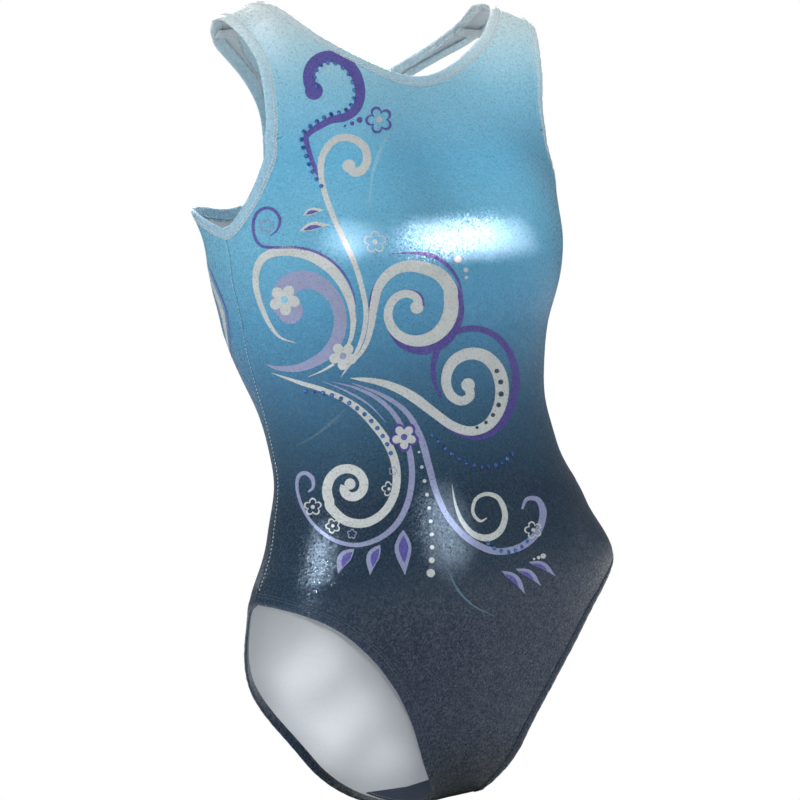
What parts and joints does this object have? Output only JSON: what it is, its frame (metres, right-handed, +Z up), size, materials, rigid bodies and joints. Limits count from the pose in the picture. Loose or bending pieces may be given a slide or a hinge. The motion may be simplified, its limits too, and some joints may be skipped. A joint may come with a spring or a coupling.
{
  "type": "gymnastics leotard",
  "caption": "Pull-on tank gymnastics leotard in stretch foil cloth: scoop neck, racer back, high-cut legs, elastic hems, printed scrolls and flowers with rows of flat stones.",
  "frame": {"origin": "middle of the bounding box's bottom, which is on the symmetry plane just under the crotch", "axes": "+X to the wearer's left, -Y out of the wearer's chest, +Z up from the crotch to the shoulders"},
  "size_m": [0.3532, 0.2354, 0.6769],
  "materials": {
    "foil_spandex": "metallic foil stretch knit, pale aqua at the shoulder fading to dark navy at the crotch",
    "foil_pale": "metallic foil stretch knit, turned hem",
    "foil_navy": "metallic foil stretch knit, turned hem",
    "elastic": "matt swimwear elastic",
    "thread_pale": "textured polyester thread",
    "thread_dark": "textured polyester thread",
    "overlock": "overlocked raw edge",
    "stay_tape": "clear stay tape, satin",
    "lining": "matt knit lining",
    "label_cloth": "blank woven label, satin",
    "stone": "faceted flat-back stone, high gloss"
  },
  "bodies": {
    "root": {"front_panel": "foil_spandex", "back_panel": "foil_spandex", "neck_hem": "foil_pale", "armhole_hem_left": "foil_pale", "armhole_hem_right": "foil_pale", "leg_hem_left": "foil_navy", "leg_hem_right": "foil_navy", "neck_elastic": "elastic", "armhole_elastic_left": "elastic", "armhole_elastic_right": "elastic", "leg_elastic_left": "elastic", "leg_elastic_right": "elastic", "neck_coverstitch": "thread_pale", "armhole_coverstitch_left": "thread_pale", "armhole_coverstitch_right": "thread_pale", "leg_coverstitch_left": "thread_dark", "leg_coverstitch_right": "thread_dark", "side_seam_allowance_left": "overlock", "side_seam_allowance_right": "overlock", "side_seam_stitching_left": "thread_pale", "side_seam_stitching_right": "thread_pale", "shoulder_stay_tape_left": "stay_tape", "shoulder_stay_tape_right": "stay_tape", "crotch_lining": "lining", "crotch_seam_allowance": "overlock", "care_label": "label_cloth", "stones_shoulder_scroll": "stone", "stones_waist_right": "stone", "stones_waist_left": "stone", "stones_hip": "stone"}
  },
  "joints": []
}
